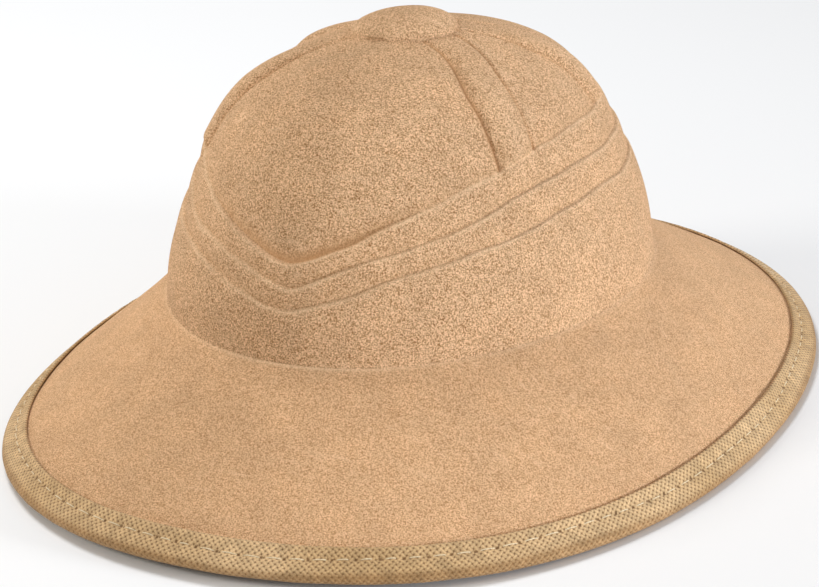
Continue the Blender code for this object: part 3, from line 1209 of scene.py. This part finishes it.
@dataclass(frozen=True)
class StitchLine:
    """The line of thread that holds the tape, one stitch after another on both faces."""

    tape: BiasTape
    thread_radius: float = 0.00020
    share: float = 0.74
    uneven: float = 0.22
    uneven_rate: float = 2300.0
    blunt: int = 4
    taper: float = 0.35
    seat: float = 0.7
    sunk: float = 0.00022
    sunk_turn: float = 0.1
    dip: float = 0.00055
    sides: int = 6
    cuts: int = 5

    def _stitch(self, sheet: bmesh.types.BMesh, start: float, face: TapeFace) -> None:
        """Add one stitch.

        Args:
            sheet: Mesh that takes it.
            start: Length round the brim where the stitch starts.
            face: Which face of the tape it lies on.
        """
        before = len(sheet.verts)
        made = bmesh.ops.create_cone(
            sheet, cap_ends=True, segments=self.sides, radius1=1.0, radius2=1.0, depth=1.0
        )
        long_edges = {edge for vertex in made["verts"] for edge in vertex.link_edges
                      if abs(edge.verts[0].co.z - edge.verts[1].co.z) > 0.5}
        bmesh.ops.subdivide_edges(sheet, edges=list(long_edges), cuts=self.cuts)
        corners = list(sheet.verts)[before:]
        local = np.array([corner.co for corner in corners])
        share = self.share * (1 + self.uneven * math.sin(start * self.uneven_rate))
        along = start + (local[:, 2] + 0.5) * self.tape.pitch * share
        ends = np.abs(2 * local[:, 2]) ** self.blunt
        outer = self.tape.brim.seat_gap + self.tape.brim.tape_wall
        inset = self.tape.seam_inset(along)
        radius = self.thread_radius * (1 - self.taper * ends)
        tight = self.sunk * (0.5 - 0.5 * math.cos(2 * math.pi * start / self.tape.length - self.sunk_turn))
        level = outer + self.tape.relief(along, inset) + self.seat * self.thread_radius - self.dip * ends - tight
        height = level + radius * local[:, 1]
        if face is TapeFace.UNDER:
            height = -self.tape.brim.felt_wall - height
        reach = inset - self.tape.cover + radius * local[:, 0]
        for corner, spot in zip(corners, self.tape.place(along, reach, height)):
            corner.co = spot

    def build(self, finish: bpy.types.Material) -> bpy.types.Object:
        """Make every stitch.

        Args:
            finish: Thread finish.

        Returns:
            The stitches as one piece.
        """
        sheet = bmesh.new()
        for face in TapeFace:
            for index in range(round(self.tape.length / self.tape.pitch)):
                self._stitch(sheet, (index + (1 - self.share) / 2) * self.tape.pitch, face)
        bmesh.ops.recalc_face_normals(sheet, faces=sheet.faces)
        piece = finished("tape_stitches", sheet, [finish])
        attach(piece, "root")
        return piece


class NodeBench:
    """Adds and joins the nodes of one new material."""

    def __init__(self, name: str) -> None:
        """Start a material.

        Args:
            name: Name of the material.
        """
        self.material = bpy.data.materials.new(name)
        self.material.use_nodes = True
        self.tree = self.material.node_tree

    def feed(self, node: bpy.types.Node, name: str | int, value: object) -> None:
        """Set or join one input of a node.

        Args:
            node: The node.
            name: Name or number of its input.
            value: A number, a colour or another node's output.
        """
        if isinstance(value, Socket):
            self.tree.links.new(value, node.inputs[name])
        else:
            node.inputs[name].default_value = value

    def out(self, kind: str, output: str, **settings: object) -> Socket:
        """Add a node and give one of its outputs.

        Args:
            kind: Type name of the node.
            output: Name of the output.
            settings: Properties and input values by name.

        Returns:
            The output.
        """
        node = self.tree.nodes.new(kind)
        for name, value in settings.items():
            title = name.replace("_", " ").title()
            if title in node.inputs:
                self.feed(node, title, value)
            else:
                setattr(node, name, value)
        return node.outputs[output]

    def noise(self, place: Socket, scale: float, detail: float, roughness: float = 0.5,
              distortion: float = 0.0) -> Socket:
        """Noise between 0 and 1 at a place."""
        return self.out("ShaderNodeTexNoise", "Fac", vector=place, scale=scale, detail=detail,
                        roughness=roughness, distortion=distortion)

    def mark(self, name: str) -> Socket:
        """An attribute of the mesh."""
        return self.out("ShaderNodeAttribute", "Fac", attribute_name=name)

    def math(self, operation: str, *values: Socket | float) -> Socket:
        """Calculate with one or two values.

        Args:
            operation: Name of the sum.
            values: Numbers or outputs.

        Returns:
            The result.
        """
        node = self.tree.nodes.new("ShaderNodeMath")
        node.operation = operation
        for index, value in enumerate(values):
            self.feed(node, index, value)
        return node.outputs[0]

    def times(self, first: Socket | float, second: Socket | float) -> Socket:
        """The product of two values."""
        return self.math("MULTIPLY", first, second)

    def scaled(self, value: Socket, low: float, high: float, start: float = 0.0, end: float = 1.0) -> Socket:
        """Map a value so that start gives low and end gives high, held at the ends."""
        return self.out("ShaderNodeMapRange", "Result", value=value, from_min=start, from_max=end,
                        to_min=low, to_max=high)

    def blend(self, share: Socket | float, first: object, second: object) -> Socket:
        """Mix two colours.

        Args:
            share: How much of the second.
            first: Colour or output.
            second: Colour or output.

        Returns:
            The mixed colour.
        """
        node = self.tree.nodes.new("ShaderNodeMix")
        node.data_type = "RGBA"
        for index, value in zip(MIX_COLOR_INPUTS, (share, first, second)):
            self.feed(node, index, value)
        return node.outputs[MIX_COLOR_RESULT]

    def toned(self, color: Socket, shade: Socket) -> Socket:
        """A colour made lighter or darker by a factor."""
        return self.out("ShaderNodeHueSaturation", "Color", color=color, value=shade)

    def surface(self, inputs: dict[str, object], **bump: object) -> bpy.types.Material:
        """Give the shader its inputs and its bump.

        Args:
            inputs: Shader inputs by name.
            bump: Settings of the bump, or none for a flat surface.

        Returns:
            The material.
        """
        if bump:
            inputs = inputs | {"Normal": self.out("ShaderNodeBump", "Normal", **bump)}
        for name, value in inputs.items():
            self.feed(self.tree.nodes["Principled BSDF"], name, value)
        return self.material


@dataclass(frozen=True)
class FeltFinish:
    """Sandy flocked felt: short matted fibres, soft sheen, rubbed crests with painted highlight, painted shade in the
    recesses and faint scratches.
    """

    name: str
    base: Color = (0.600, 0.345, 0.172, 1.0)
    light: Color = (1.000, 0.670, 0.400, 1.0)
    dark: Color = (0.350, 0.145, 0.042, 1.0)
    warm: Color = (0.640, 0.360, 0.175, 1.0)
    # Pale colour of rubbed nap with painted highlight, also used for the scratches.
    rubbed_and_highlight: Color = (1.000, 0.700, 0.430, 1.0)
    # Painted shade for the fold recesses and welt valleys.
    recess_shade: Color = (0.420, 0.200, 0.080, 1.0)
    sheen_tint: Color = (1.0, 0.84, 0.66, 1.0)
    clump_scale: float = 1000.0
    clump_share: float = 0.08
    fibre_scale: float = 2100.0
    fibre_share: float = 0.92
    patch_scale: float = 16.0
    patch_range: Range = (0.35, 0.65)
    mottle_scale: float = 75.0
    mottle_shades: Range = (0.94, 1.06)
    hollow_range: Range = (0.40, 0.465)
    crest_range: Range = (0.485, 0.55)
    wear_and_highlight_shares: Range = (0.6, 1.0)
    wear_and_highlight_range: Range = (0.4, 0.6)
    pressed_grain: float = 0.25
    recess_shade_share: float = 0.20
    scratch_scale: tuple[float, float, float] = (30.0, 420.0, 160.0)
    scratch_turn: tuple[float, float, float] = (0.2, 0.3, 0.9)
    scratch_share: float = 0.35
    scratch_range: Range = (0.66, 0.74)
    scratch_patch: Range = (0.48, 0.60)
    roughness: Range = (1.0, 0.86)
    bump_distance: float = 0.0010
    bump_strength: float = 1.0
    brim_share: float = 0.65
    sheen: float = 0.09
    marked: float = 1.0

    def build(self) -> bpy.types.Material:
        """Make the material.

        Returns:
            The felt material, on object coordinates.
        """
        bench = NodeBench(self.name)
        place = bench.out("ShaderNodeTexCoord", "Object")
        clump = bench.noise(place, self.clump_scale, detail=2.0, roughness=0.55, distortion=0.9)
        fibre = bench.noise(place, self.fibre_scale, detail=3.0, roughness=0.6, distortion=0.8)
        grain = bench.math("ADD", bench.times(clump, self.clump_share), bench.times(fibre, self.fibre_share))
        # Masks of rubbed nap with painted highlight, and of pressed nap with painted shade.
        wear, pressed = (bench.times(bench.mark(name), self.marked) for name in ("wear", "pressed"))
        patch = bench.noise(place, self.patch_scale, detail=3.0, roughness=0.55)
        mottle = bench.noise(place, self.mottle_scale, detail=2.0)
        coarse = bench.times(bench.scaled(bench.mark("brim"), 1.0, self.brim_share),
                             bench.scaled(pressed, 1.0, self.pressed_grain))
        stretched = bench.out("ShaderNodeMapping", "Vector", vector=place, scale=self.scratch_scale,
                              rotation=self.scratch_turn)
        streak = bench.noise(stretched, scale=1.0, detail=1.0)
        layers = (
            (bench.times(bench.scaled(grain, 1.0, 0.0, *self.hollow_range), coarse), self.dark),
            (bench.times(bench.scaled(grain, 0.0, 1.0, *self.crest_range), coarse), self.light),
            # Rubbed nap with painted highlight, then painted shade in the fold recesses and welt valleys.
            (bench.times(wear, bench.scaled(grain, *self.wear_and_highlight_shares, *self.wear_and_highlight_range)), self.rubbed_and_highlight),
            (bench.times(pressed, self.recess_shade_share), self.recess_shade),
            (bench.times(bench.scaled(streak, 0.0, self.scratch_share, *self.scratch_range),
                         bench.scaled(patch, 0.0, 1.0, *self.scratch_patch)), self.rubbed_and_highlight),
        )
        color = bench.blend(bench.scaled(patch, 0.0, 1.0, *self.patch_range), self.base, self.warm)
        for share, tone in layers:
            color = bench.blend(share, color, tone)
        return bench.surface(
            {
                "Base Color": bench.toned(color, bench.scaled(mottle, *self.mottle_shades, *SOFT_RANGE)),
                "Roughness": bench.scaled(grain, *self.roughness, *self.patch_range),
                "Specular IOR Level": 0.10,
                "Sheen Weight": self.sheen,
                "Sheen Roughness": 0.55,
                "Sheen Tint": self.sheen_tint,
            },
            height=grain, strength=self.bump_strength, distance=bench.times(coarse, self.bump_distance),
        )


@dataclass(frozen=True)
class TapeFinish:
    """Khaki open-weave tape cut on the bias, so its threads cross at 45 degrees to its length."""

    length: float
    pitch: float
    thread_pitch: float = 0.00160
    # Painted shade where the tape curves round the felt's edge.
    edge: Color = (0.260, 0.130, 0.045, 1.0)
    edge_shade_range: Range = (0.0046, 0.0066)
    edge_shade_share: float = 0.6
    thread: Color = (0.530, 0.340, 0.160, 1.0)
    shadow: Color = (0.150, 0.072, 0.024, 1.0)
    tint: Color = (0.660, 0.445, 0.235, 1.0)
    sheen_tint: Color = (1.0, 0.90, 0.72, 1.0)
    under_height: float = 0.24
    slub_scale: float = 260.0
    patch_scale: float = 22.0
    patch_range: Range = (0.35, 0.65)
    fuzz_scale: float = 2600.0
    fuzz_height: float = 0.18
    weave_shadow: float = 0.26
    weave_range: Range = (0.30, 0.85)
    gap_shadow: float = 0.95
    gap_range: Range = (0.12, 0.50)
    hole_shadow: float = 0.9
    hole_range: Range = (0.0003, 0.0007)
    slub_shades: Range = (-0.20, 0.20)
    fuzz_shades: Range = (0.82, 1.18)
    roughness: Range = (0.95, 0.78)
    bump_distance: float = 0.00028

    def _weave(self, bench: NodeBench, along: Socket, across: Socket) -> Socket:
        """Height of the crossing threads, of which one lies over the other by turns.

        Args:
            bench: Where the nodes are added.
            along: Length along the tape.
            across: Length across it.

        Returns:
            The height, from 0 in the gaps to 1.
        """
        turns = 2 * round(self.length / (2 * math.sqrt(2) * self.thread_pitch))
        scale = math.pi * turns / self.length
        warp, weft = (bench.math("SINE", bench.times(bench.math(operation, along, across), scale))
                      for operation in ("ADD", "SUBTRACT"))
        over = bench.times(warp, weft)
        threads = (bench.times(bench.math("ABSOLUTE", wave), bench.scaled(over, low, high, -1.0, 1.0))
                   for wave, low, high in ((weft, self.under_height, 1.0), (warp, 1.0, self.under_height)))
        return bench.math("MAXIMUM", *threads)

    def build(self) -> bpy.types.Material:
        """Make the material.

        Returns:
            The tape material, on its UV map in metres.
        """
        bench = NodeBench("bias_tape_weave")
        split = bench.tree.nodes.new("ShaderNodeSeparateXYZ")
        bench.feed(split, 0, bench.out("ShaderNodeTexCoord", "UV"))
        along, across = split.outputs["X"], split.outputs["Y"]
        weave = self._weave(bench, along, across)
        place = bench.out("ShaderNodeTexCoord", "Object")
        slub = bench.noise(place, self.slub_scale, detail=3.0, roughness=0.6)
        patch = bench.noise(place, self.patch_scale, detail=2.0)
        fuzz = bench.noise(place, self.fuzz_scale, detail=2.0, roughness=0.6)
        beat = bench.math("FRACT", bench.math("ADD", bench.math("DIVIDE", along, self.pitch), 0.5))
        hole_along = bench.times(bench.math("ABSOLUTE", bench.math("SUBTRACT", beat, 0.5)), self.pitch)
        seam = bench.mark("seam")
        hole = bench.math("MAXIMUM", hole_along, bench.math("ABSOLUTE", seam))
        layers = (
            (bench.scaled(weave, self.weave_shadow, 0.0, *self.weave_range), self.shadow),
            (bench.scaled(weave, self.gap_shadow, 0.0, *self.gap_range), self.shadow),
            (bench.scaled(hole, self.hole_shadow, 0.0, *self.hole_range), self.shadow),
            # Painted shade where the tape curves round the felt's edge.
            (bench.scaled(seam, 0.0, self.edge_shade_share, *self.edge_shade_range), self.edge),
        )
        color = bench.blend(bench.scaled(patch, 0.0, 1.0, *self.patch_range), self.thread, self.tint)
        for share, tone in layers:
            color = bench.blend(share, color, tone)
        shade = bench.math("ADD", bench.scaled(slub, *self.slub_shades, *SOFT_RANGE),
                           bench.scaled(fuzz, *self.fuzz_shades, *self.patch_range))
        return bench.surface(
            {
                "Base Color": bench.toned(color, shade),
                "Roughness": bench.scaled(slub, *self.roughness, *SOFT_RANGE),
                "Specular IOR Level": 0.25,
                "Sheen Weight": 0.12,
                "Sheen Roughness": 0.5,
                "Sheen Tint": self.sheen_tint,
            },
            height=bench.math("ADD", weave, bench.times(fuzz, self.fuzz_height)),
            strength=1.0, distance=self.bump_distance,
        )


@dataclass(frozen=True)
class ThreadFinish:
    """Cream sewing thread with a twist."""

    base: Color = (0.880, 0.750, 0.510, 1.0)
    shade: Color = (0.580, 0.430, 0.240, 1.0)
    strand_scale: float = 3800.0
    strand_range: Range = (0.35, 0.65)
    roughness: Range = (0.55, 0.8)

    def build(self) -> bpy.types.Material:
        """Make the material.

        Returns:
            The thread material.
        """
        bench = NodeBench("cream_thread")
        strands = bench.noise(bench.out("ShaderNodeTexCoord", "Object"), self.strand_scale, detail=2.0)
        return bench.surface(
            {
                "Base Color": bench.blend(bench.scaled(strands, 0.0, 1.0, *self.strand_range), self.shade, self.base),
                "Roughness": bench.scaled(strands, *self.roughness, *SOFT_RANGE),
                "Sheen Weight": 0.2,
            },
            height=strands, strength=0.6, distance=0.0001,
        )


@dataclass(frozen=True)
class StudioFinish:
    """Plain pale paper of the studio floor."""

    base: Color = (0.90, 0.90, 0.90, 1.0)
    tooth_scale: float = 300.0
    roughness: Range = (0.9, 1.0)

    def build(self) -> bpy.types.Material:
        """Make the material.

        Returns:
            The floor material.
        """
        bench = NodeBench("studio_paper")
        tooth = bench.noise(bench.out("ShaderNodeTexCoord", "Object"), self.tooth_scale, detail=2.0)
        roughness = bench.scaled(tooth, *self.roughness, *SOFT_RANGE)
        return bench.surface({"Base Color": self.base, "Roughness": roughness, "Specular IOR Level": 0.05})


def heading(turn: float, height: float) -> Vector:
    """Unit vector at a turn from the front and a height over the floor, both in degrees."""
    turn, height = math.radians(turn), math.radians(height)
    return Vector((math.sin(turn) * math.cos(height), -math.cos(turn) * math.cos(height), math.sin(height)))


@dataclass(frozen=True)
class SoftLight:
    """One soft box: its turn from the front and height in degrees, its size and power."""

    name: str
    turn: float
    height: float
    size: float
    power: float
    distance: float = 1.7
    color: tuple[float, float, float] = (1.0, 1.0, 1.0)

    def place(self, aim: Vector) -> Vector:
        """Where the box hangs, seen from the point that it lights."""
        return aim + heading(self.turn, self.height) * self.distance


@dataclass(frozen=True)
class Studio:
    """Floor, soft boxes, pale surroundings and the camera at the photograph's angle."""

    target_z: float = 0.07
    floor_size: float = 8.0
    world_strength: float = 0.36
    azimuth: float = 26.23
    elevation: float = 21.09
    roll: float = -2.377
    distance: float = 0.965
    focal_px: float = 2523.2
    image_width: float = 819.0
    sensor: float = 36.0
    shift_right: float = -0.00214
    shift_up: float = 0.0311
    clip_start: float = 0.05
    clip_end: float = 30.0
    centre: tuple[float, float, float] = (0.0, -0.0044, 0.0025)
    lights: tuple[SoftLight, ...] = (
        SoftLight(name="key_box", turn=87.0, height=5.0, size=0.45, power=25.5, color=(0.96, 1.0, 1.07)),
        SoftLight(name="left_box", turn=-46.0, height=28.0, size=0.6, power=9.8, color=(1.0, 0.96, 0.88)),
        SoftLight(name="top_box", turn=-112.0, height=62.0, size=0.7, power=16.5, color=(0.98, 1.0, 1.03)),
    )

    def build(self) -> None:
        """Set up the whole studio."""
        self._floor()
        for light in self.lights:
            self._light(light)
        self._surroundings()
        self._camera()

    def _floor(self) -> None:
        """Lay the floor."""
        sheet = bmesh.new()
        bmesh.ops.create_grid(sheet, x_segments=8, y_segments=8, size=self.floor_size / 2)
        floor = finished("studio_floor", sheet, [StudioFinish().build()])

    def _light(self, light: SoftLight) -> None:
        """Hang one soft box, aimed at the hat.

        Args:
            light: The soft box.
        """
        data = bpy.data.lights.new(light.name, "AREA")
        data.shape = "DISK"
        data.size = light.size
        data.energy = light.power
        data.color = light.color
        lamp = bpy.data.objects.new(light.name, data)
        aim = Vector((0.0, 0.0, self.target_z))
        lamp.location = light.place(aim)
        lamp.rotation_euler = (aim - lamp.location).to_track_quat("-Z", "Y").to_euler()
        bpy.context.scene.collection.objects.link(lamp)

    def _surroundings(self) -> None:
        """Give the studio its pale surroundings."""
        world = bpy.data.worlds.new("studio")
        world.use_nodes = True
        backing = world.node_tree.nodes["Background"]
        backing.inputs["Color"].default_value = (1.0, 1.0, 1.0, 1.0)
        backing.inputs["Strength"].default_value = self.world_strength
        bpy.context.scene.world = world
        bpy.context.scene.view_settings.view_transform = "Standard"

    def _camera(self) -> None:
        """Set the camera at the photograph's angle."""
        back = heading(self.azimuth, self.elevation)
        turn = math.radians(self.azimuth)
        right = Vector((math.cos(turn), math.sin(turn), 0.0))
        up = back.cross(right)
        place = Vector(self.centre) + right * self.shift_right + up * self.shift_up + back * self.distance
        roll = math.radians(self.roll)
        right, up = right * math.cos(roll) + up * math.sin(roll), up * math.cos(roll) - right * math.sin(roll)
        data = bpy.data.cameras.new("studio_camera")
        data.sensor_width = self.sensor
        data.lens = self.focal_px / self.image_width * self.sensor
        data.clip_start, data.clip_end = self.clip_start, self.clip_end
        camera = bpy.data.objects.new("studio_camera", data)
        turned = Matrix((right, up, back)).transposed()
        camera.matrix_world = Matrix.Translation(place) @ turned.to_4x4()
        bpy.context.scene.collection.objects.link(camera)
        bpy.context.scene.camera = camera


def report(name: str, build: Callable[[], bpy.types.Object]) -> bpy.types.Object:
    """Build one piece and log its size.

    Args:
        name: What the log calls it.
        build: Makes the piece.

    Returns:
        The piece.
    """
    piece = build()
    logger.info("%s: %d faces", name, len(piece.data.polygons))
    return piece


def main() -> None:
    """Build the studio and the hat."""
    logging.basicConfig(level=logging.INFO, format="%(message)s")
    Studio().build()
    crown = CrownForm()
    brim = BrimForm(crown=crown)
    shell = FeltShell(crown=crown, folds=FoldSet(crown=crown), welts=WeltSet(crown=crown), brim=brim)
    outside = FeltFinish(name="flocked_felt").build()
    inside = FeltFinish(name="felt_inside", bump_strength=0.5, marked=0.0).build()
    report("felt shell", lambda: shell.build(outside, inside))
    tape = BiasTape(brim=brim)
    weave = TapeFinish(length=tape.length, pitch=tape.pitch).build()
    report("bias tape", lambda: tape.build(weave))
    report("stitches", lambda: StitchLine(tape=tape).build(ThreadFinish().build()))


if __name__ == "__main__":
    main()
